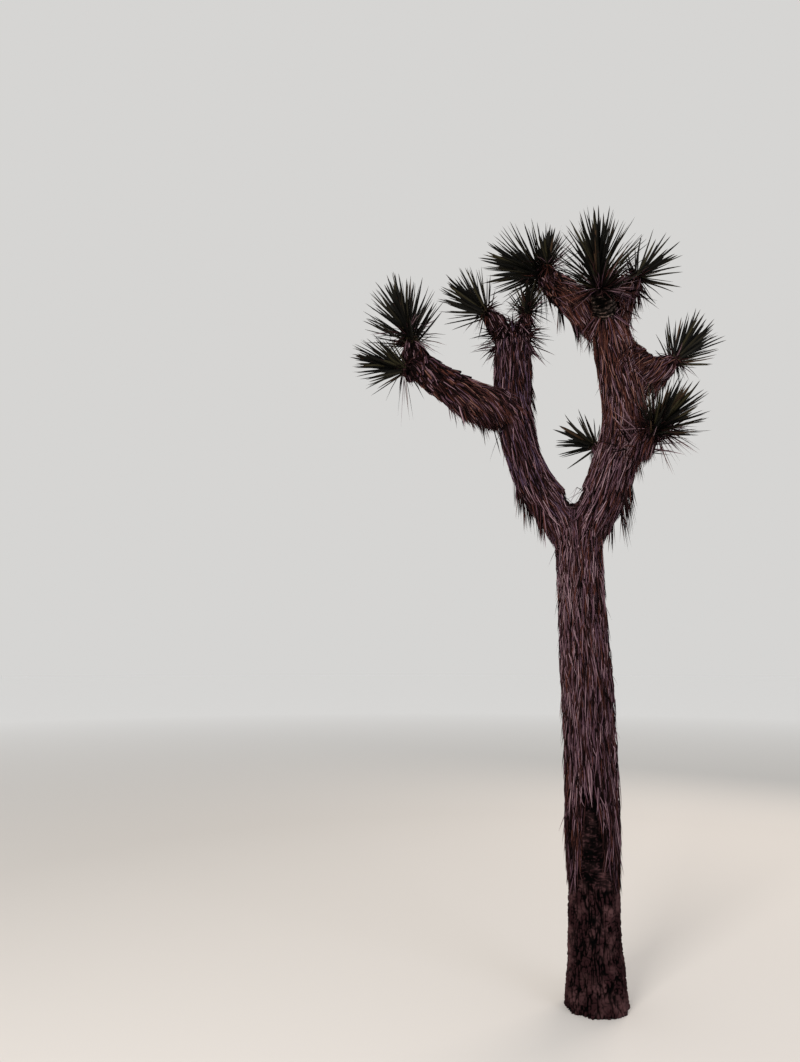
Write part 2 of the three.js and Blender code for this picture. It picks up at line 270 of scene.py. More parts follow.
# A limb's centre line in even steps, with its radius and its own frame along it
class Limb:
    steps = 96

    def __init__(self, fine, radii):
        lengths = np.concatenate([[0], np.cumsum(np.linalg.norm(np.diff(fine, axis=0), axis=1))])
        self.length = lengths[-1]
        self.shares = np.linspace(0, 1, self.steps + 1)
        places = self.shares * self.length
        self.centre = np.stack([np.interp(places, lengths, fine[:, axis]) for axis in range(3)], axis=1)
        self.along = unit(np.gradient(self.centre, axis=0))
        self.radius = np.interp(self.shares, np.linspace(0, 1, len(radii)), radii)
        normal = np.array([1.0, 0.0, 0.0]) if abs(self.along[0, 0]) < 0.9 else np.array([0.0, 1.0, 0.0])
        self.normal = np.empty_like(self.centre)
        for i, along in enumerate(self.along):
            normal = unit(normal - along * np.dot(normal, along))
            self.normal[i] = normal
        self.side = np.cross(self.along, self.normal)

    def at(self, share, values):
        return np.stack([np.interp(share, self.shares, values[:, axis]) for axis in range(3)], axis=-1)

    # The centre, the way along, the way out at an angle round the limb, and the radius
    def skin(self, share, angle):
        along = unit(self.at(share, self.along))
        cosine, sine = np.cos(angle)[:, None], np.sin(angle)[:, None]
        out = self.at(share, self.normal) * cosine + self.at(share, self.side) * sine
        out = unit(out - along * dot(out, along))
        return self.at(share, self.centre), along, out, np.interp(share, self.shares, self.radius)

    # Roots inside the limb, at a share of its radius out from its centre line
    def rootsAt(self, share, out, rootShare):
        radius = np.interp(share, self.shares, self.radius)
        return self.at(share, self.centre) + out * (radius * rootShare)[:, None]


# Every limb, from its foot inside its parent to its tip, with its radius at even steps, thatch
# included. fringe is the dead leaves that hang below it, between two shares of its length.
limbRoutes = {
    "trunk": Rule(
        path=[(0, 0, 0), (0, 0, 0.24), (0.009, 0, 0.6), (0.012, 0, 1.15), (0.008, 0, 1.95), (0, 0, 2.59)],
        radii=[0.162, 0.138, 0.13, 0.143, 0.14, 0.135, 0.133, 0.127, 0.126, 0.138], rounded=True,
    ),
    "right_bough": Rule(
        path=[
            (0, 0, 2.36), (0.048, 0.005, 2.5), (0.13, 0.016, 2.635), (0.213, 0.033, 2.845),
            (0.283, 0.05, 3.115), (0.253, 0.035, 3.47), (0.21, 0.01, 3.745),
        ],
        radii=[0.096, 0.122, 0.125, 0.124, 0.122, 0.121, 0.118, 0.112, 0.098], rounded=True,
        fringe=Rule(leaves=18, start=0.16, end=0.62, length=0.205),
    ),
    "left_bough": Rule(
        path=[
            (0, 0, 2.35), (-0.065, -0.008, 2.49), (-0.138, -0.018, 2.605), (-0.23, -0.032, 2.745),
            (-0.305, -0.05, 2.955), (-0.345, -0.05, 3.225),
        ],
        radii=[0.086, 0.11, 0.112, 0.104, 0.098, 0.103, 0.096], rounded=True,
        fringe=Rule(leaves=15, start=0.26, end=0.6, length=0.19),
    ),
    "left_upright": Rule(
        path=[(-0.345, -0.05, 3.125), (-0.345, -0.01, 3.41), (-0.345, 0.06, 3.745)],
        radii=[0.084, 0.108, 0.11, 0.104, 0.096], rounded=True,
        fringe=Rule(leaves=15, start=0.1, end=0.9, length=0.165, turn=-1.4, arc=0.6),
    ),
    "left_arm": Rule(
        path=[
            (-0.35, -0.06, 3.175), (-0.53, -0.13, 3.225), (-0.675, -0.195, 3.295), (-0.79, -0.24, 3.37),
            (-0.855, -0.26, 3.425),
        ],
        radii=[0.088, 0.112, 0.104, 0.092, 0.08, 0.07], rounded=True,
        fringe=Rule(leaves=14, start=0.16, end=0.62, length=0.15, blades=4),
    ),
    "right_arm": Rule(
        path=[(0.25, 0.04, 3.5), (0.425, 0.108, 3.412), (0.575, 0.16, 3.48)],
        radii=[0.118, 0.124, 0.084, 0.056],
        fringe=Rule(leaves=6, start=0.5, end=0.9, length=0.14),
    ),
    "top_left_arm": Rule(
        path=[(0.19, 0.025, 3.675), (0.03, 0.126, 3.905), (-0.138, 0.224, 4.138)],
        radii=[0.082, 0.098, 0.09, 0.078, 0.06],
        fringe=Rule(leaves=10, start=0.08, end=0.66, length=0.175),
    ),
    "top_right_arm": Rule(
        path=[(0.25, 0.03, 3.655), (0.31, 0.11, 3.88), (0.395, 0.19, 4.04)],
        radii=[0.07, 0.076, 0.064, 0.048],
        fringe=Rule(leaves=3, start=0.5, end=0.9, length=0.13),
    ),
    "top_front_spur": Rule(
        path=[(0.205, -0.005, 3.66), (0.19, -0.105, 3.755), (0.175, -0.16, 3.815)],
        radii=[0.062, 0.078, 0.07],
    ),
    "top_left_small_spur": Rule(
        path=[(-0.072, 0.178, 4.05), (-0.108, 0.148, 4.125), (-0.12, 0.13, 4.158)],
        radii=[0.034, 0.038, 0.03],
    ),
    "lower_right_spur": Rule(
        path=[(0.31, 0.01, 2.93), (0.37, -0.1, 2.94), (0.41, -0.165, 2.965)],
        radii=[0.06, 0.068, 0.052],
    ),
    "inner_spur": Rule(
        path=[(0.215, 0.07, 2.93), (0.16, 0.165, 2.97), (0.125, 0.215, 3.01)],
        radii=[0.038, 0.046, 0.038],
    ),
    "left_upright_left_spur": Rule(
        path=[(-0.36, 0.05, 3.67), (-0.435, 0.03, 3.77), (-0.49, 0.005, 3.825)],
        radii=[0.06, 0.066, 0.046],
    ),
    "left_upright_right_spur": Rule(
        path=[(-0.325, 0.05, 3.67), (-0.28, 0.095, 3.77), (-0.265, 0.12, 3.84)],
        radii=[0.05, 0.054, 0.036],
    ),
    "left_arm_upper_spur": Rule(
        path=[(-0.84, -0.255, 3.4), (-0.885, -0.268, 3.485), (-0.9, -0.275, 3.55)],
        radii=[0.06, 0.064, 0.052],
    ),
    "left_arm_lower_spur": Rule(
        path=[(-0.845, -0.258, 3.41), (-0.89, -0.3, 3.39), (-0.92, -0.33, 3.385)],
        radii=[0.052, 0.058, 0.044],
    ),
    # Where the thatch of both boughs has grown together in the fork: it has no solid of its own
    "fork_saddle": Rule(
        path=[(-0.1, -0.012, 2.545), (0, 0, 2.57), (0.105, 0.012, 2.602)],
        radii=[0.066, 0.078, 0.078, 0.066],
    ),
}
limbs = {name: Limb(splineThrough(route.path), route.radii) for name, route in limbRoutes.items()}


# The trunk's lumps and long ridges, as in its solid: how far the skin stands out at a height.
# Each run of ridges is how many go round it, and how far they turn in a metre, in radians.
trunkForm = Rule(lump=0.0175, lumps=[(2, -17, 1), (3, 9, -1)], ridge=0.0045, ridges=[(7, 1.9), (10, -2.7)])


def trunkSwell(height, out):
    angle = np.arctan2(out[..., 1], out[..., 0])
    trunk = limbs["trunk"]
    share = height / trunk.length
    swell = sum(way * np.sin(around * angle + turn * share) for around, turn, way in trunkForm.lumps)
    ridge = sum(np.sin(around * angle + turn * height) for around, turn in trunkForm.ridges)
    radius = np.interp(share, trunk.shares, trunk.radius)
    return trunkForm.lump * swell * radius + trunkForm.ridge * ridge


# How far points stand above the nearest limb's skin, and the way straight out of that limb
def aboveSkin(points):
    flat = points.reshape(-1, 3)
    rows = np.arange(len(flat))
    above = np.full(len(flat), np.inf)
    out = np.zeros_like(flat)
    for name, limb in limbs.items():
        offset = flat[:, None] - limb.centre[None, ::measuredEvery]
        height = np.linalg.norm(offset, axis=2) - limb.radius[None, ::measuredEvery]
        nearest = height.argmin(axis=1)
        height = height[rows, nearest]
        way = unit(offset[rows, nearest])
        if name == "trunk":
            height -= trunkSwell(flat[:, 2], way)
        lower = height < above
        above[lower] = height[lower]
        out[lower] = way[lower]
    return above.reshape(points.shape[:-1]), out.reshape(points.shape)


welded = 0.001


# A closed tube of rings one apart and one across, with a pole at each end, ready to be bent
def turnedTube(name, rings, sides):
    shape = bmesh.new()
    heights = [0] + list(range(rings + 1)) + [rings]
    profile = [
        shape.verts.new((0 if i in (0, rings + 2) else 1, 0, height)) for i, height in enumerate(heights)
    ]
    for low, high in zip(profile, profile[1:]):
        shape.edges.new((low, high))
    bmesh.ops.spin(
        shape, geom=shape.verts[:] + shape.edges[:], cent=(0, 0, 0), axis=(0, 0, 1),
        angle=2 * math.pi, steps=sides, use_merge=True,
    )
    bmesh.ops.remove_doubles(shape, verts=shape.verts, dist=welded)
    bmesh.ops.recalc_face_normals(shape, faces=shape.faces)
    mesh = bpy.data.meshes.new(name)
    shape.to_mesh(mesh)
    shape.free()
    return mesh


def addPiece(name, mesh, materials, nodes):
    for material in materials:
        mesh.materials.append(material)
    piece = addObject(name, mesh)
    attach(piece, "root")
    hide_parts(*[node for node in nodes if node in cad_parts])
    mesh.calc_loop_triangles()
    print(name, len(mesh.loop_triangles), "triangles")
    return piece


# Noise between about -1 and 1 at many places, its cells a given size each way
def noiseAt(points, cell):
    scaled = points / np.array(cell)
    return np.array([noise.noise(Vector(point)) for point in scaled]) * 2


def smoothStep(low, high, value):
    t = np.clip((value - low) / (high - low), 0, 1)
    return t * t * (3 - 2 * t)


# Long ridges of cork with furrows between them, cut across by short cracks, and wavy lips of leaf
# scars just under the thatch. A tube whose radius is under thin is carved less.
# crackShade and scarShade: how much painted shade darkens the colour in a crack and in a scar
corkRelief = Rule(
    wanderCell=(0.07, 0.07, 0.1), wander=0.005, wanderShift=3.1,
    furrowCell=(0.0155, 0.0155, 0.1), furrowWidth=0.42, furrowDepth=0.014,
    crackCell=(0.026, 0.026, 0.022), crackWidth=0.34, crackDepth=0.007, crackShade=0.6,
    scarCell=(0.04, 0.04, 0.016), scarWidth=0.42, scarDepth=0.008, scarShade=0.8,
    scarsFrom=0.53, scarsFull=0.66, scarsFill=0.6,
    lumpSize=0.12, lumpHeight=0.003, grainSize=0.008, grainHeight=0.002,
    thatchedShare=0.86, bareUpTo=0.5, thatchedFrom=0.98, thin=0.05,
)


# A thin groove along the lines where a stretched noise changes sign
def groove(points, cell, width):
    return 1 - smoothStep(0, width, np.abs(noiseAt(points, cell)))


# How deep each place of the bark lies, and how near it is to a ridge's face, from 0 to 1, which the colour
# follows as painted shade in furrows, cracks and scars
def corkAt(points):
    relief = corkRelief
    drift = [noiseAt(points + shift, relief.wanderCell) for shift in (0, relief.wanderShift)]
    wandered = points + relief.wander * np.stack(drift + [np.zeros(len(points))], axis=1)
    scarred = smoothStep(relief.scarsFrom, relief.scarsFull, points[:, 2])
    kinds = ("furrow", "crack", "scar")
    furrow, crack, scar = [groove(wandered, relief[kind + "Cell"], relief[kind + "Width"]) for kind in kinds]
    furrow = furrow * (1 - relief.scarsFill * scarred)
    crack = crack * (1 - furrow) * (1 - scarred)
    scar = (1 - scar) * scarred
    depth = relief.furrowDepth * furrow + relief.crackDepth * crack
    depth += relief.scarDepth * scar * (1 - furrow)
    depth -= relief.lumpHeight * noiseAt(points, relief.lumpSize)
    depth -= relief.grainHeight * noiseAt(points, relief.grainSize)
    return depth, (1 - furrow) * (1 - relief.crackShade * crack) * (1 - relief.scarShade * scar)


# Where the thatch has fallen from the tip of a limb, beyond a share of it, and the overlapping
# rings of broad leaf bases that show there. They wave up and down round the limb.
bareTips = Rule(top_front_spur=0.36)
leafRings = Rule(spacing=0.021, height=0.012, sunk=0.4, wave=0.25, waves=2, waveTurn=9, ringStep=0.003)


# Bends a tube's rings along a limb, each at its share of the limb's length, and carves the cork.
# core is the share of the limb's radius that is bark and not thatch, at each ring or all along.
def barkTube(name, limb, shares, sides, core, rounded=False):
    mesh = turnedTube(name, len(shares) - 1, sides)
    place = np.empty(len(mesh.vertices) * 3)
    mesh.vertices.foreach_get("co", place)
    x, y, ring = place.reshape(-1, 3).T
    ring = np.rint(ring).astype(int)
    share = shares[ring]
    angle = np.arctan2(y, x)
    centre, along, out, radius = limb.skin(share, angle)
    if name == "trunkBark":
        radius = radius + trunkSwell(centre[:, 2], out)
    rise = np.ones(len(share))
    if name in bareTips:
        rings = leafRings
        wave = rings.wave * np.sin(rings.waves * angle + rings.waveTurn * share)
        rise = (share * limb.length / rings.spacing + wave) % 1
        radius = radius + rings.height * (rise - rings.sunk)
    wide = np.hypot(x, y) * radius * np.broadcast_to(core, len(shares))[ring]
    if rounded:
        left = np.clip((1 - share) * limb.length / radius, 0, 1)
        wide *= np.sqrt(np.clip(1 - (1 - left) ** 2, 0, 1))
    surface = centre + out * wide[:, None]
    depth, plateShade = corkAt(surface)
    surface -= out * (depth * np.minimum(wide / corkRelief.thin, 1))[:, None]
    surface[:, 2] = np.maximum(surface[:, 2], 0)
    mesh.vertices.foreach_set("co", surface.ravel())
    # On leaf rings the colour is darkened where each ring sinks beside the lip of the one before: painted
    # shade
    mesh.attributes.new("plateShade", "FLOAT", "POINT").data.foreach_set("value", plateShade * rise ** 2)
    mesh.shade_smooth()
    mesh.update()
    return mesh


trunkBark = Rule(sides=236, fineStep=0.0046, coarseStep=0.022, fineUpTo=1.0)
boughBark = Rule(sides=72, ringStep=0.012)


def growTrunk():
    limb = limbs["trunk"]
    fine = np.arange(0, trunkBark.fineUpTo, trunkBark.fineStep)
    coarse = np.arange(trunkBark.fineUpTo, limb.length, trunkBark.coarseStep)
    shares = np.concatenate([fine, coarse, [limb.length]]) / limb.length
    covered = smoothStep(corkRelief.bareUpTo, corkRelief.thatchedFrom, shares * limb.length)
    core = 1 - (1 - corkRelief.thatchedShare) * covered
    mesh = barkTube("trunkBark", limb, shares, trunkBark.sides, core, rounded=True)
    addPiece("trunkBark", mesh, [corkBark], ["trunk"])


# Tubes as one piece, each with the place of its material in the list
def joinTubes(name, tubes, materials, nodes):
    joined = bmesh.new()
    for mesh, material in tubes:
        mesh.polygons.foreach_set("material_index", np.full(len(mesh.polygons), material, np.int32))
        joined.from_mesh(mesh)
        bpy.data.meshes.remove(mesh)
    mesh = bpy.data.meshes.new(name)
    joined.to_mesh(mesh)
    joined.free()
    mesh.shade_smooth()
    addPiece(name, mesh, materials, nodes)


def growBoughs():
    tubes = []
    names = [name for name in limbs if name != "trunk"]
    for name in names:
        bare = name in bareTips
        rings = math.ceil(limbs[name].length / (leafRings if bare else boughBark)["ringStep"])
        shares = np.linspace(0, 1, rings + 1)
        rounded = limbRoutes[name].get("rounded", False)
        mesh = barkTube(name, limbs[name], shares, boughBark.sides, corkRelief.thatchedShare, rounded)
        tubes.append((mesh, int(bare)))
    joinTubes("boughBark", tubes, [corkBark, leafBases], names)


growTrunk()
growBoughs()


# Blades

# A section's corners, across the blade and out of it, in the order that turns its faces outwards
ridged = [(-1, 0), (0, 1), (1, 0)]
channelled = [(-1, -0.3), (0, 0.75), (1, -0.3), (0, 0.05)]

runShift = 0.37      # metres along the fibres from blade to blade, so that no two share theirs


# Many blades as one mesh: a section swept along each centre line to a point. Each has its line
# (blades, rings, 3), the way across it, its width and thickness at each ring, a twist in radians
# from root to tip, and a tint for each stretch between two rings.
def sweepBlades(name, batches, section, materials, nodes):
    blades = {key: np.concatenate([batch[key] for batch in batches]) for key in batches[0]}
    line = blades["line"]
    count, rings = line.shape[:2]
    sides = len(section)
    along = unit(np.gradient(line, axis=1))
    across = blades["across"][:, None]
    across = unit(across - along * dot(across, along))
    out = np.cross(across, along)
    turn = blades["twist"][:, None, None] * np.linspace(0, 1, rings)[None, :, None]
    across, out = across * np.cos(turn) + out * np.sin(turn), out * np.cos(turn) - across * np.sin(turn)
    steps = np.linalg.norm(np.diff(line, axis=1), axis=2)
    run = np.concatenate([np.zeros((count, 1)), np.cumsum(steps, axis=1)], axis=1)
    run += np.arange(count)[:, None] * runShift
    corners = []
    places = []
    for a, b in section:
        half = a * blades["width"] / 2
        corners.append(line + across * half[..., None] + out * (b * blades["thickness"])[..., None])
        places.append(np.stack([half, run], axis=2))
    body = np.stack(corners, axis=2)[:, :-1].reshape(count, -1, 3)
    points = np.concatenate([body, line[:, -1:]], axis=1)
    spots = np.stack(places, axis=2)[:, :-1].reshape(count, -1, 2)
    spots = np.concatenate([spots, np.stack([run[:, -1:] * 0, run[:, -1:]], axis=2)], axis=1)
    each = points.shape[1]
    last = (rings - 2) * sides
    around = [(j, (j + 1) % sides) for j in range(sides)]
    pairs = [(low, low + sides) for low in range(0, last, sides)]
    quads = [(low + i, low + j, high + j, high + i) for low, high in pairs for i, j in around]
    ends = [(last + i, last + j, each - 1) for i, j in around]
    root = [tuple(reversed(range(sides)))]
    starts = (np.arange(count) * each)[:, None, None]
    faces = []
    for kind in (quads, ends, root):
        faces += (np.array(kind)[None] + starts).reshape(-1, len(kind[0])).tolist()
    tint = blades["tint"]
    tints = [np.repeat(tint[:, :-1], sides, axis=1), np.repeat(tint[:, -1:], sides, axis=1), tint[:, :1]]
    tints = np.concatenate([tint.ravel() for tint in tints])
    mesh = bpy.data.meshes.new(name)
    mesh.from_pydata(points.reshape(-1, 3), [], faces)
    mesh.polygons.foreach_set("material_index", tints.astype(np.int32))
    corner = np.empty(len(mesh.loops), np.int32)
    mesh.loops.foreach_get("vertex_index", corner)
    mesh.uv_layers.new(name="blade").data.foreach_set("uv", spots.reshape(-1, 2)[corner].ravel())
    mesh.update()
    return addPiece(name, mesh, materials, nodes)


# One batch of blades: their thickness and twist by their rule, and one tint from root to tip
def batchOf(line, across, width, tint, rule, random):
    thickness = width * (rule.thickness / rule.width)
    twist = random.normal(0, rule.twist, len(line))
    tint = np.repeat(tint[:, None], line.shape[1] - 1, axis=1)
    return dict(line=line, across=across, width=width, thickness=thickness, twist=twist, tint=tint)


# Sizes that stray from one size by up to a share of it
def varied(size, spread, count, random):
    return size * (1 + spread * random.uniform(-1, 1, count))


# Deals tints by spray: patches of the plant lean to one tint, and single blades stray from it.
# weights is each tint's share, patchiness how far the patches rule, and raised what lightens a blade.
def dealTints(places, strays, weights, patchSize, patchiness, raised=0):
    value = patchiness * noiseAt(places, patchSize) + (1 - patchiness) * strays
    rank = (value + raised).argsort().argsort() / max(len(places), 1)
    edges = np.cumsum(weights) / np.sum(weights)
    return np.searchsorted(edges, rank, side="right").clip(0, len(weights) - 1)


# Numbers between -1 and 1 of which each cell of space and layer gets an even share
def evenStrays(places, layers, random):
    shuffled = random.permutation(len(places))
    cells = np.floor(np.column_stack([places / thatch.tintCell, layers * thatch.tintLayers])[shuffled])
    _, cell, inCell = np.unique(cells, axis=0, return_inverse=True, return_counts=True)
    cell = cell.ravel()
    grouped = cell.argsort(kind="stable")
    place = np.arange(len(places)) - (np.cumsum(inCell) - inCell)[cell[grouped]]
    strays = np.empty(len(places))
    strays[shuffled[grouped]] = 2 * (place + random.uniform(0, 1, len(place))) / inCell[cell[grouped]] - 1
    return strays


# The youngest dead leaves are brown where older ones have gone mauve and grey, and on the left boughs
# violet is swapped in as painted cool shade: each limb's swaps, the heights between which they set
# in, and the share that they reach.
brown = {"Mauve": "Rust", "Grey": "Tan", "Pale": "Tan"}
violet = {"Mauve": "Violet", "Rust": "Mauve"}
leanings = {
    "right_bough": (brown, 2.7, 3.6, 0.65),
    "right_arm": (brown, 2.7, 3.6, 0.5),
    "top_left_arm": (brown, 3.0, 3.7, 0.65),
    "top_right_arm": (brown, 3.0, 3.7, 0.4),
    "top_front_spur": (brown, 3.0, 3.7, 0.6),
    "left_arm": (brown, 2.8, 3.2, 0.4),
    "left_bough": (violet, 2.4, 2.8, 0.6),
    "left_upright": (violet, 2.4, 2.8, 0.6),
}


def leanTints(name, places, tint, random):
    swaps, start, full, share = leanings.get(name, ({}, 0, 1, 0))
    names = list(deadTints)
    swapped = np.array([names.index(swaps.get(other, other)) for other in names])
    leaning = random.uniform(0, 1, len(places)) < share * smoothStep(start, full, places[:, 2])
    return np.where(leaning, swapped[tint], tint)


# Thatch

# Dead leaves lie back down the limb, shingled round it by the golden angle. They hang straighter
# where the limb leans over them and near its foot, and each lies on whatever limb is below it.
thatch = Rule(
    perSquareMetre=7300, length=0.145, lengthSpread=0.35, width=0.006, widthSpread=0.35, thickness=0.0032,
    rings=(0, 0.3, 0.68, 1), taper=(0.95, 1, 0.7, 0), rootShare=0.82, turnSpread=0.12, spare=0.012,
    deepest=-0.024, highest=0.003, riseOver=0.35, flare=0.01, droop=0.1, hang=0.9, leanShorter=0.25,
    footReach=0.34, footTurn=1.9, footShorter=0.3, underShorter=0.6,
    swirl=0.1, swirlCell=0.22, stray=0.06, curl=0.07, twist=0.8, roll=0.5, bleaching=0.55,
    # Tints are dealt darker at the trunk's foot and again at the fork, and paler up the trunk between:
    # painted shade and painted light by height
    paleHeights=(0.7, 1.2, 1.9, 2.25, 2.5), paleBy=(-0.1, 0.06, 0.14, 0.46, 0.05),
    patches=(0.3, 0.12), tintCell=(0.035, 0.035, 0.08), tintLayers=3,
)

# Where the leaves have broken off short: only their broad bases are left, beyond a share of the limb
stubs = Rule(
    limbs=Rule(left_arm=0.6, left_arm_upper_spur=-0.2, left_arm_lower_spur=-0.2, top_left_arm=0.6),
    ragged=0.2, share=0.93, shorter=0.46, wider=2.3, raised=0.006,
    rings=(0, 0.3, 0.93, 1), taper=(0.85, 1, 0.92, 0),
)

# Where the thatch ends at the foot of the trunk, lower at the sides and back than in front
thatchFoot = Rule(front=1.31, sides=0.7, narrow=9, ragged=0.05)


def aboveFoot(root, out, random):
    front = np.clip(-out[:, 1], 0, 1) ** thatchFoot.narrow
    foot = thatchFoot.sides + (thatchFoot.front - thatchFoot.sides) * front
    return root[:, 2] > foot + thatchFoot.ragged * random.normal(0, 1, len(root))


def layThatch(name, weights, random):
    rule = thatch
    limb = limbs[name]
    count = int(2 * math.pi * limb.radius.mean() * limb.length * rule.perSquareMetre)
    order = np.arange(count)
    spread = np.concatenate([[0], np.cumsum(limb.radius[1:] + limb.radius[:-1])])
    share = np.interp((order + random.uniform(0, 1, count)) / count, spread / spread[-1], limb.shares)
    angle = order * goldenAngle + random.uniform(-rule.turnSpread, rule.turnSpread, count)
    _, along, out, radius = limb.skin(share, angle)
    root = limb.rootsAt(share, out, rule.rootShare)

    # A leaf whose root is buried in another limb isn't grown, nor one below the thatch's foot
    buried, _ = aboveSkin(root)
    kept = (buried > -(1 - rule.rootShare) * radius - rule.spare) & (share < bareTips.get(name, 2))
    if name == "trunk":
        kept &= aboveFoot(root, out, random)
    share, along, out, radius, root = [values[kept] for values in (share, along, out, radius, root)]
    count = len(root)

    side = np.cross(along, out)
    under = np.clip(-out[:, 2:], 0, 1)
    nearFoot = np.clip(1 - share * limb.length / rule.footReach, 0, 1)[:, None]
    heading = unit(-along + down * (rule.droop + rule.hang * under ** 2 + rule.footTurn * nearFoot))
    lean = rule.swirl * noiseAt(root, rule.swirlCell) + random.normal(0, rule.stray, count)
    heading = unit(heading + side * lean[:, None])
    heading = unit(heading - out * np.minimum(dot(heading, out), 0))

    broken = share > stubs.limbs.get(name, 2) + random.uniform(0, stubs.ragged, count)
    broken &= random.uniform(0, 1, count) < stubs.share
    u = np.where(broken[:, None, None], np.array(stubs.rings)[:, None], np.array(rule.rings)[:, None])
    taper = np.where(broken[:, None], np.array(stubs.taper) * stubs.wider, rule.taper)
    length = varied(rule.length, rule.lengthSpread, count, random) * (1 - rule.leanShorter * under[:, 0])
    length *= np.where(broken, stubs.shorter, 1) * (1 - rule.footShorter * nearFoot[:, 0])
    length *= 1 - rule.underShorter * nearFoot[:, 0] * under[:, 0]
    curl = random.normal(0, rule.curl, (count, 1, 1)) * length[:, None, None]
    flare = rule.flare * random.uniform(0, 1, (count, 1, 1)) ** 2
    line = root[:, None] + heading[:, None] * u * length[:, None, None] + side[:, None] * curl * u ** 2

    # Rises from the bark to its own layer of the thatch, and lies on what is under it
    height = random.uniform(0, 1, (count, 1))
    layer = rule.deepest + (rule.highest - rule.deepest) * height + stubs.raised * broken[:, None]
    bark = -(1 - rule.rootShare) * radius[:, None]
    level = bark + (layer - bark) * smoothStep(0, rule.riseOver, u[..., 0]) + flare[..., 0] * u[..., 0] ** 3
    for _ in range(2):
        above, way = aboveSkin(line)
        line += way * np.maximum(level - above, 0)[..., None] * (u > 0)

    turn = random.normal(0, rule.roll, (count, 1))
    across = unit(np.cross(heading, out))
    across = across * np.cos(turn) + out * np.sin(turn)
    width = varied(rule.width, rule.widthSpread, (count, 1), random) * taper
    # Blades high in the thatch are dealt paler tints, as bleached, and deeper ones darker: painted shade
    # under the blades above them
    raised = rule.bleaching * height[:, 0] + np.interp(root[:, 2], rule.paleHeights, rule.paleBy)
    strays = evenStrays(root, height[:, 0], random)
    tint = leanTints(name, root, dealTints(root, strays, weights, *rule.patches, raised), random)
    return batchOf(line, across, width, tint, rule, random)


# The thatch's pieces: how the names of their limbs start, and how much of each tint they have,
# from dark to bleached
thatchPieces = {
    "trunkThatch": Rule(on="trunk", weights=(42, 26, 7, 16, 8, 1)),
    "rightThatch": Rule(on=("right", "lower", "inner", "fork"), weights=(34, 25, 10, 18, 10, 3)),
    # The left piece has more of the dark tints: painted shade on the left boughs
    "leftThatch": Rule(on="left", weights=(47, 27, 6, 13, 6, 1)),
    "topThatch": Rule(on="top", weights=(34, 25, 14, 15, 9, 3)),
}


# Blades that start off along their headings, sag, curl sideways, and stay out of the limbs except
# close to their roots
bending = Rule(sags=(0.3, 1.7), widths=(0.75, 1.25), rooted=0.3, patches=(0.2, 0.4))


def bendBlades(root, heading, out, length, rule, random, lowest=0.0):
    count = len(root)
    u = np.array(rule.rings)[None, :, None]
    side = unit(np.cross(heading, out))
    curl = random.normal(0, rule.curl, (count, 1, 1)) * length[:, None, None]
    sag = rule.sag * random.uniform(*bending.sags, (count, 1, 1)) * length[:, None, None]
    line = root[:, None] + heading[:, None] * u * length[:, None, None]
    line = line + (side[:, None] * curl + down * sag) * u ** 2
    above, way = aboveSkin(line)
    line += way * np.maximum(lowest - above, 0)[..., None] * (u > bending.rooted)
    width = rule.width * random.uniform(*bending.widths, (count, 1)) * np.array(rule.taper)
    tint = dealTints(root, random.uniform(-1, 1, count), rule.weights, *bending.patches)
    return batchOf(line, side, width, tint, rule, random)


# The same numbers as the solids' rule, between -1 and 1
def seeded(seed):
    while True:
        seed = seed * 16807 % 2147483647
        yield seed / 2147483647 * 2 - 1


# Tufts that stand out from the trunk's thatch where its solid has them, each a spray of leaves
tufts = Rule(
    count=60, start=0.33, end=0.93, seed=307, length=0.23, lengthSpread=0.2, turnSpread=0.3, standsOut=0.15,
    rootDepth=0.022, leaves=13, spread=0.028, rise=0.035, fan=0.07, spray=1.5, rises=(-0.5, 1),
    stands=(0.5, 1.1), lengths=(0.65, 1.0), width=0.008, thickness=0.0036,
    rings=(0, 0.3, 0.68, 1), taper=(0.95, 1, 0.66, 0), sag=0.0, curl=0.05, twist=0.8,
    weights=(28, 22, 8, 24, 15, 3),
)


def growTufts(random):
    rule = tufts
    limb = limbs["trunk"]
    draw = seeded(rule.seed)
    each = (rule.leaves, 1)
    sprays = []
    for tuft in range(rule.count):
        share = rule.start + (rule.end - rule.start) * (tuft + 0.5) / rule.count
        angle = tuft * goldenAngle + rule.turnSpread * next(draw)
        along = unit(limb.at(share, limb.along))
        level = [math.cos(angle), math.sin(angle)]
        out = unit(np.array(level + [0]) - along * along[:2].dot(level))
        side = np.cross(along, out)
        radius = np.interp(share, limb.shares, limb.radius)
        root = limb.at(share, limb.centre) + out * (radius - rule.rootDepth)
        length = rule.length * (1 + rule.lengthSpread * next(draw))
        shift = random.normal(0, rule.spread, each)
        root = root + side * shift + along * random.uniform(*rule.rises, each) * rule.rise
        lean = random.normal(0, rule.fan, each) - rule.spray * shift
        stand = out * rule.standsOut * random.uniform(*rule.stands, each)
        heading = unit(-along + stand + side * lean)
        lengths = length * random.uniform(*rule.lengths, rule.leaves)
        sprays.append((root, heading, np.repeat(out[None], rule.leaves, axis=0), lengths))
    roots, headings, outs, lengths = [np.concatenate(values) for values in zip(*sprays)]
    kept = aboveFoot(roots, outs, random)
    return bendBlades(roots[kept], headings[kept], outs[kept], lengths[kept], rule, random)


for seed, (pieceName, piece) in enumerate(thatchPieces.items()):
    random = np.random.default_rng(seeds.thatch + seed)
    names = [name for name in limbs if name.startswith(piece.on)]
    batches = [layThatch(name, piece.weights, random) for name in names]
    if "trunk" in names:
        batches.append(growTufts(random))
    sweepBlades(pieceName, batches, ridged, deadMaterials, names)
print("thatch laid")


# Fringe

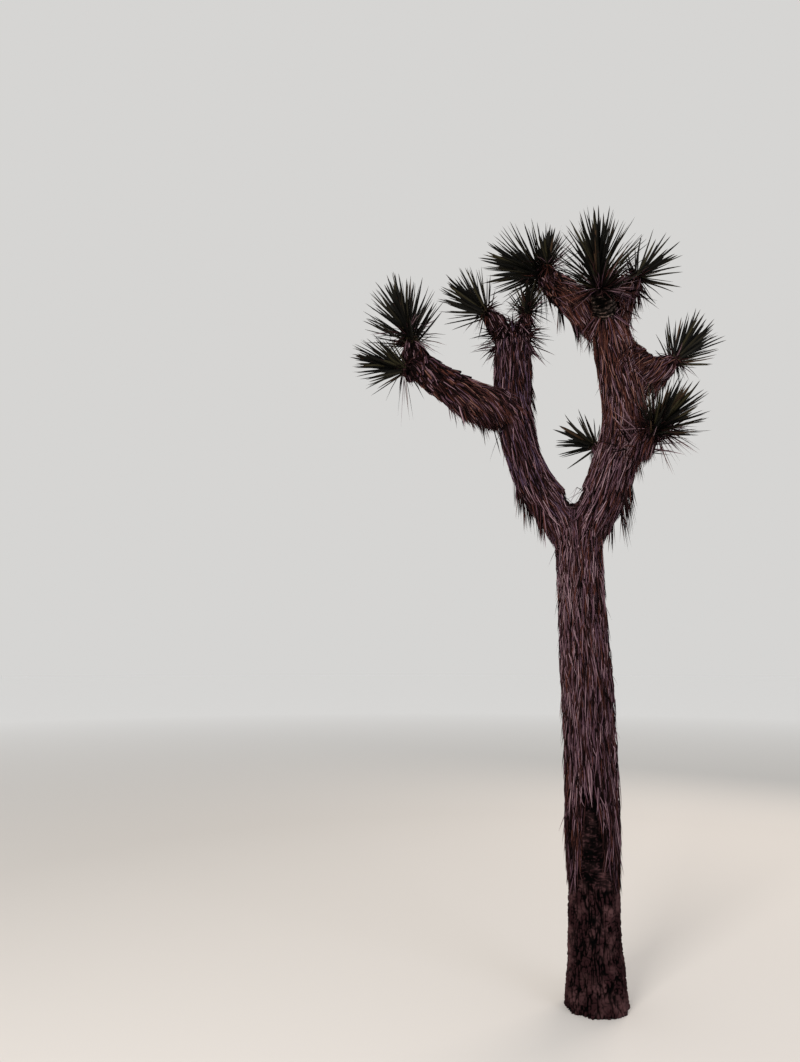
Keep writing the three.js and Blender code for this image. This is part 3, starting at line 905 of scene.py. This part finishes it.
# Long dead leaves that hang clear below the leaning limbs, by the rule of the solids but many more
# and narrow, and stray wisps that stand out all over
fringe = Rule(
    blades=9, width=0.0078, thickness=0.003, rings=(0, 0.3, 0.65, 1), taper=(1, 1, 0.66, 0),
    rootShare=0.84, lengthSpread=0.3, thin=0.3, turn=0.0, arc=1.0, tuft=0.13, back=0.5,
    out=0.26, outSpread=0.26, outStray=0.1, sag=0.1, curl=0.06, twist=1.0, weights=(50, 26, 10, 8, 4, 2),
)


def hangFringe(name, random):
    route = limbRoutes[name].fringe
    rule = Rule(fringe, **route)
    limb = limbs[name]
    tuft = np.repeat(np.arange(route.leaves), rule.blades)
    count = len(tuft)
    place = tuft + random.uniform(0, 1, route.leaves)[tuft] + random.normal(0, rule.tuft, count)
    share = route.start + (route.end - route.start) * place / route.leaves
    _, along, _, _ = limb.skin(share, np.zeros(count))
    under = unit(down - along * dot(down[None], along))
    turn = rule.turn + rule.arc * random.uniform(-1, 1, route.leaves)[tuft]
    turn += random.normal(0, rule.tuft, count)
    out = under * np.cos(turn)[:, None] + np.cross(along, under) * np.sin(turn)[:, None]
    root = limb.rootsAt(share, out, rule.rootShare)
    stand = rule.out + rule.outSpread * random.uniform(-1, 1, route.leaves)[tuft]
    stand = stand + random.normal(0, rule.outStray, count)
    heading = down - rule.back * along + out * stand[:, None]
    length = varied(route.length, rule.lengthSpread, route.leaves, random)[tuft]
    length *= 1 - rule.thin * random.uniform(0, 1, count)
    return bendBlades(root, unit(heading), out, length, rule, random)


wisps = Rule(
    perSquareMetre=42, length=0.105, lengthSpread=0.4, width=0.005, thickness=0.002,
    rings=(0, 0.3, 0.65, 1), taper=(0.9, 1, 0.62, 0), rootShare=0.9, back=1.0, out=0.38, stray=0.22,
    sag=0.25, curl=0.12, twist=1.5, weights=(36, 28, 12, 12, 9, 3), sunk=0.1, spare=0.012, clearOfFoot=0.1,
)


def scatterWisps(name, random):
    rule = wisps
    limb = limbs[name]
    count = int(2 * math.pi * limb.radius.mean() * limb.length * rule.perSquareMetre)
    share = random.uniform(0, 1, count)
    _, along, out, radius = limb.skin(share, random.uniform(0, 2 * math.pi, count))
    root = limb.rootsAt(share, out, rule.rootShare)
    buried, _ = aboveSkin(root)
    kept = buried > -rule.sunk * radius - rule.spare
    kept &= root[:, 2] > thatchFoot.sides + rule.clearOfFoot
    root, along, out = root[kept], along[kept], out[kept]
    heading = unit(-rule.back * along + rule.out * out + random.normal(0, rule.stray, (len(root), 3)))
    length = varied(rule.length, rule.lengthSpread, len(root), random)
    return bendBlades(root, heading, out, length, rule, random)


# Dead leaves that stand out of a limb all round it, between two shares of its length. They lean
# back down it by up to so much, and stray by so much.
skirts = [
    Rule(on="left_upright", leaves=120, start=0.78, end=0.99, length=0.145, lean=(-0.5, 0.35), stray=0.15),
    Rule(
        on="left_upright", leaves=90, start=0.8, end=1, length=0.15, lean=(-2.6, -0.9), stray=0.45,
        weights=(24, 20, 8, 18, 20, 10),
    ),
    Rule(
        on="top_front_spur", leaves=110, start=0.05, end=0.45, length=0.125, lean=(-1.8, -0.6), stray=0.2,
        weights=(26, 22, 26, 10, 10, 6),
    ),
    Rule(
        on="top_right_arm", leaves=90, start=0.25, end=0.95, length=0.13, lean=(-2.4, -0.7), stray=0.4,
        weights=(26, 22, 14, 14, 14, 10),
    ),
    Rule(
        on="lower_right_spur", leaves=80, start=0.1, end=0.95, length=0.18, lean=(0, 0.9), stray=0.3,
        lift=0.9, weights=(34, 26, 18, 6, 10, 6),
    ),
    Rule(
        on="trunk", leaves=190, start=0.27, end=0.37, length=0.145, lean=(-11, -6), stray=0.05,
        weights=(44, 26, 6, 14, 8, 2), rootShare=0.88,
    ),
]
skirt = Rule(
    width=0.01, thickness=0.0034, rings=(0, 0.3, 0.65, 1), taper=(1, 1, 0.64, 0), rootShare=0.8,
    lengthSpread=0.35, lift=0.0, sag=0.08, curl=0.06, twist=0.6, weights=(60, 24, 6, 4, 4, 2),
)


def growSkirt(place, random):
    rule = Rule({**skirt, **place})
    limb = limbs[rule.on]
    count = rule.leaves
    share = rule.start + (rule.end - rule.start) * random.uniform(0, 1, count)
    _, along, out, _ = limb.skin(share, np.arange(count) * goldenAngle)
    root = limb.rootsAt(share, out, rule.rootShare)
    lean = along * random.uniform(*rule.lean, (count, 1)) - down * rule.lift
    heading = unit(out + lean + random.normal(0, rule.stray, (count, 3)))
    length = varied(rule.length, rule.lengthSpread, count, random)
    kept = aboveFoot(root, out, random) if rule.on == "trunk" else np.ones(count, bool)
    return bendBlades(root[kept], heading[kept], along[kept], length[kept], rule, random)


def growFringe():
    random = np.random.default_rng(seeds.fringe)
    fringed = [name for name, route in limbRoutes.items() if "fringe" in route]
    batches = [hangFringe(name, random) for name in fringed]
    batches += [scatterWisps(name, random) for name in limbs]
    batches += [growSkirt(place, random) for place in skirts]
    sweepBlades("hangingLeaves", batches, ridged, deadMaterials, fringed)


growFringe()
print("fringe hung")


# Rosettes

# Each rosette: the way it faces, the length of its leafy stem and of its leaves, how many leaves its
# solid has and how many more it has here, and how far the oldest fold back, in degrees. broad widens
# its leaves. A limb carries it that has its name, or the one that on names. dead is the dead leaves
# below: how many, their length by a living one's, and how far they fold and sag.
rosettes = {
    "top_front_rosette": Rule(
        faces=(0.02, -0.4, 1), stem=0.15, leaf=0.282, leaves=54, finer=2.5, fold=75,
        dead=Rule(
            leaves=210, length=0.62, folds=(36, 116), sag=0.06, rootRange=(0.2, 0),
            weights=(36, 28, 14, 8, 9, 5),
        ),
    ),
    "top_left_rosette": Rule(
        on="top_left_arm", faces=(-0.93, 0, 0.45), stem=0.12, leaf=0.308, leaves=50, finer=2.3, fold=78,
        broad=1.12, dead=Rule(leaves=90, length=0.8, folds=(80, 125), sag=0.1, rootRange=(0.5, 0)),
    ),
    "top_left_small_rosette": Rule(
        faces=(0.05, -0.2, 1), stem=0.042, leaf=0.165, leaves=22, finer=2.2, fold=56,
        dead=Rule(leaves=50, length=0.7, folds=(70, 140), sag=0.2),
    ),
    "top_right_rosette": Rule(
        on="top_right_arm", faces=(0.88, 0.35, 0.78), stem=0.052, leaf=0.245, leaves=34, finer=1.1, fold=66,
        dead=Rule(leaves=100, length=0.5, folds=(80, 165), sag=0.2),
    ),
    "right_arm_rosette": Rule(
        on="right_arm", faces=(0.72, 0.3, 0.95), stem=0.062, leaf=0.252, leaves=36, finer=1.9, fold=57,
        dead=Rule(leaves=60, length=0.4, folds=(76, 165), sag=0.25),
    ),
    "lower_right_rosette": Rule(
        faces=(0.8, -0.5, 0.76), stem=0.066, leaf=0.245, leaves=38, finer=2.3, fold=64,
        weights=(30, 27, 15, 12, 16),
        dead=Rule(leaves=120, length=0.72, folds=(50, 130), sag=0.06, rootRange=(0.7, 0)),
    ),
    "inner_rosette": Rule(
        faces=(-0.88, 0.3, 0.62), stem=0.044, leaf=0.205, leaves=28, finer=1.3, fold=62, broad=1.3,
        dead=Rule(leaves=40, length=0.45, folds=(76, 160), sag=0.2),
    ),
    "left_upright_left_rosette": Rule(
        faces=(-0.78, -0.1, 0.74), stem=0.062, leaf=0.24, leaves=38, finer=2.0, fold=57,
        dead=Rule(leaves=60, length=0.45, folds=(76, 165), sag=0.2),
    ),
    "left_upright_right_rosette": Rule(
        faces=(0.12, -0.1, 1), stem=0.052, leaf=0.16, leaves=22, finer=2.3, fold=58,
        dead=Rule(leaves=80, length=0.8, folds=(60, 160), sag=0.12, rootRange=(0.6, 0)),
    ),
    "left_arm_upper_rosette": Rule(
        faces=(-0.28, -0.12, 1), stem=0.135, leaf=0.272, leaves=50, finer=2.3, fold=68,
        dead=Rule(leaves=100, length=0.55, folds=(70, 140), sag=0.12, rootRange=(0.5, 0)),
    ),
    "left_arm_lower_rosette": Rule(
        faces=(-1, -0.4, 0.24), stem=0.058, leaf=0.222, leaves=36, finer=2.2, fold=52,
        dead=Rule(leaves=26, length=0.75, folds=(74, 125), sag=0.42),
    ),
}

# The leafy stem inside a rosette turns from its limb's heading to the way that the rosette faces
leafyStem = Rule(gap=0.0003, turn=0.4, bud=0.04, taper=(0.86, 0.79, 0.72, 0.57, 0.16), sides=20, rings=24)


def stemOf(name, rosette):
    rule = leafyStem
    carrier = limbs[rosette.get("on", name.replace("rosette", "spur"))]
    axis = unit(np.array(rosette.faces, float))
    heading = carrier.along[-1]
    foot = carrier.centre[-1] + heading * rule.gap
    turn = foot + heading * rosette.stem * rule.turn
    end = turn + axis * (rosette.stem * (1 - rule.turn) + rule.bud)
    t = np.linspace(0, 1, 60)[:, None]
    curve = (1 - t) ** 2 * foot + 2 * t * (1 - t) * turn + t ** 2 * end
    return Limb(curve, np.array(rule.taper) * carrier.radius[-1])


stems = {name: stemOf(name, rosette) for name, rosette in rosettes.items()}


def growStems():
    shares = np.linspace(0, 1, leafyStem.rings + 1)
    tubes = [(barkTube(name, stem, shares, leafyStem.sides, 1.0), 0) for name, stem in stems.items()]
    joinTubes("leafyStems", tubes, [corkBark], list(rosettes))


# Whether points lie nearer to one rosette's stem end than to any other's, in lengths of its leaves
def ownSpace(name, points):
    def leavesFrom(other):
        return np.linalg.norm(points - stems[other].centre[-1], axis=1) / rosettes[other].leaf

    return leavesFrom(name) < np.min([leavesFrom(other) for other in stems if other != name], axis=0)


# Whether points lie in the box of the solids, with a little to spare
def withinReach(points):
    low, high = np.array([list(corner) for corner in cadBox])
    return ((points > low - dagger.spare) & (points < high + dagger.spare)).all(axis=1)


firstLeaf = (1, 0.3, 0.2)


# The ways out round a rosette's axis, and the headings that fold back from the axis towards them
def foldedBack(axis, fold, turn):
    start = unit(np.cross(firstLeaf, axis))
    about = start * np.cos(turn) + np.cross(axis, start) * np.sin(turn)
    return about, axis * np.cos(fold) + about * np.sin(fold)


# Dagger leaves stand round the stem by the golden angle, the youngest along its axis and the
# oldest folded back, more and narrower than in the solids. One that would leave its rosette's
# space or the plant's reach, or meet a limb past testedFrom of its length, is cut shorter, and
# skipped if no trim clears it.
dagger = Rule(
    width=0.0176, thickness=0.0055, rootDepth=0.022, trims=(1, 0.85, 0.7, 0.55), youngest=0.86,
    opening=0.62, lengthSpread=0.17, longest=1.06, foldSpread=8, turnSpread=0.16, rootRange=(0.94, 0),
    rootOut=0.8, rings=(0, 0.1, 0.35, 0.66, 0.9, 1), taper=(1.3, 1.1, 1.02, 0.78, 0.36, 0), bow=0.03,
    upward=0.2, widths=(0.82, 1.18), twist=0.15, testedFrom=0.4, tests=5, clearance=0.003, spare=0.025,
    weights=(38, 32, 18, 9, 3), tintAt=0.2, patches=(0.12, 0.3),
)


def growDaggers(name, random):
    rule = dagger
    rosette = rosettes[name]
    stem = stems[name]
    count = int(rosette.leaves * rosette.finer)
    axis = unit(np.array(rosette.faces, float))
    order = np.arange(count)
    age = (order + 0.5) / count
    fold = np.radians(rosette.fold * age ** rule.opening + rule.foldSpread * random.uniform(-1, 1, count))
    turn = order * goldenAngle + rule.turnSpread * random.uniform(-1, 1, count)
    about, heading = foldedBack(axis, fold[:, None], turn[:, None])
    youngest, oldest = rule.rootRange
    place = youngest + (oldest - youngest) * age
    root = stem.at(place, stem.centre)
    growth = rule.youngest + (1 - rule.youngest) * np.sin(math.pi * age)
    growth = np.minimum(growth + rule.lengthSpread * random.uniform(-1, 1, count), rule.longest)
    tested = np.linspace(rule.testedFrom, 1, rule.tests)[None, :, None]
    length = np.zeros(count)
    for trim in rule.trims:
        tried = rosette.leaf * growth * trim + rule.rootDepth
        line = root[:, None] + heading[:, None] * tried[:, None, None] * tested
        clear = ownSpace(name, line[:, -1]) & withinReach(line[:, -1])
        clear &= (aboveSkin(line)[0] > rule.clearance).all(axis=1)
        length = np.where((length == 0) & clear, tried, length)
    kept = length > 0
    root, heading, about, length, place, fold = [
        values[kept] for values in (root, heading, about, length, place, fold)
    ]
    count = len(root)

    # Each leaf's foot is moved out to the skin of the stem, and its tip stays where it is
    skin = np.interp(place, stem.shares, stem.radius)
    reach = heading * length[:, None] - about * (skin * rule.rootOut * np.sin(fold))[:, None]
    root = root + heading * length[:, None] - reach
    length = np.linalg.norm(reach, axis=1)
    heading = unit(reach)
    side = np.cross(axis[None], about)
    bow = random.normal(0, rule.bow, (count, 1, 1)) * length[:, None, None]
    rise = rule.bow * random.normal(rule.upward, 1, (count, 1, 1)) * length[:, None, None]
    lift = np.cross(side, heading)[:, None] * rise
    u = np.array(rule.rings)[None, :, None]
    line = root[:, None] + heading[:, None] * u * length[:, None, None]
    line = line + (side[:, None] * bow + lift) * u * (u - 1) * 2
    width = rule.width * rosette.get("broad", 1) * random.uniform(*rule.widths, (count, 1))
    width = width * np.array(rule.taper)
    strays = random.uniform(-1, 1, count)
    weights = rosette.get("weights", rule.weights)
    tint = dealTints(root + heading * rule.tintAt, strays, weights, *rule.patches)
    batch = batchOf(line, side, width, tint, rule, random)
    batch["tint"][:, 0] = list(livingTints).index("Root")
    batch["tint"][:, -1] = list(livingTints).index("Spine")
    return batch


# Dead leaves below the living ones: folded back past level, drooping, dark brown to straw
collar = Rule(
    width=0.0082, thickness=0.0028, rings=(0, 0.3, 0.65, 1), taper=(1.2, 1, 0.62, 0), foldSpread=12,
    rootRange=(0.3, 0), rootOut=0.6, turnSpread=0.3, lengthSpread=0.35, curl=0.14, twist=0.9,
    weights=(50, 27, 9, 6, 5, 3), clearance=0.002,
)


def growCollar(name, random):
    rule = Rule({**collar, **rosettes[name].dead})
    stem = stems[name]
    count = rule.leaves
    order = np.arange(count)
    age = (order + 0.5) / count
    low, high = rule.folds
    fold = np.radians(low + (high - low) * age + random.normal(0, rule.foldSpread, count))
    turn = order * goldenAngle + random.uniform(-rule.turnSpread, rule.turnSpread, count)
    axis = unit(np.array(rosettes[name].faces, float))
    about, heading = foldedBack(axis, fold[:, None], turn[:, None])
    young, old = rule.rootRange
    root = stem.at(young + (old - young) * age, stem.centre) + about * stem.radius[0] * rule.rootOut
    length = varied(rosettes[name].leaf * rule.length, rule.lengthSpread, count, random)
    return bendBlades(root, heading, about, length, rule, random, rule.clearance)


def growRosettes():
    random = np.random.default_rng(seeds.rosettes)
    growStems()
    living = [growDaggers(name, random) for name in rosettes]
    sweepBlades("daggerLeaves", living, channelled, livingMaterials, list(rosettes))
    dying = [growCollar(name, random) for name in rosettes]
    sweepBlades("collarLeaves", dying, ridged, deadMaterials, list(rosettes))


growRosettes()
print("rosettes grown")


# Stage: a pale floor that fades into the backdrop, and soft studio light

studio = Rule(
    floor="#cfccc8", far="#ffffff", sky="#ecebe9", skyStrength=0.8, floorSize=90, floorSides=96,
    fadeFrom=5, fadeTo=22, roughness=0.95, specular=0.1, ior=1.5, aim=(0, 0, 2.4),
)


def paleFloor():
    shape = bmesh.new()
    bmesh.ops.create_circle(shape, cap_ends=True, segments=studio.floorSides, radius=studio.floorSize)
    mesh = bpy.data.meshes.new("floor")
    shape.to_mesh(mesh)
    shape.free()
    material, tree = startMaterial("palePaint")
    place = addNode(tree, "TexCoord", output="Object")
    distance = addNode(tree, "VectorMath", {0: place}, output="Value", operation="LENGTH")
    fade = addNode(tree, "MapRange", {0: distance, 1: studio.fadeFrom, 2: studio.fadeTo})
    colour = addNode(tree, "ValToRGB", {"Fac": fade}, ramp=[(0, studio.floor), (1, studio.far)])
    addShader(tree, colour, studio)
    mesh.materials.append(material)
    floor = addObject("floor", mesh)


# Soft boxes: where each stands, what it points at, its size, its power and its colour
softBoxes = {
    "key": Rule(place=(-2.6, -7.0, 4.8), size=2.4, power=480, colour="#fff8f2"),
    "fill": Rule(place=(5.5, -4.5, 3.0), size=4, power=130, colour="#eef0ff"),
    "back": Rule(place=(2.5, 5.5, 5.5), size=4, power=220, colour="#fff0e4"),
}


def lightStage():
    world = bpy.data.worlds.new("studio")
    world.use_nodes = True
    background = world.node_tree.nodes["Background"]
    background.inputs["Color"].default_value = linear(studio.sky)
    background.inputs["Strength"].default_value = studio.skyStrength
    bpy.context.scene.world = world
    bpy.context.scene.view_settings.view_transform = "Standard"
    for name, box in softBoxes.items():
        data = bpy.data.lights.new(name, "AREA")
        data.size = box.size
        data.energy = box.power
        data.color = linear(box.colour)[:3]
        facing = Vector(studio.aim) - Vector(box.place)
        addObject(name, data, box.place, facing.to_track_quat("-Z", "Y").to_euler())


paleFloor()
lightStage()
print("stage lit")
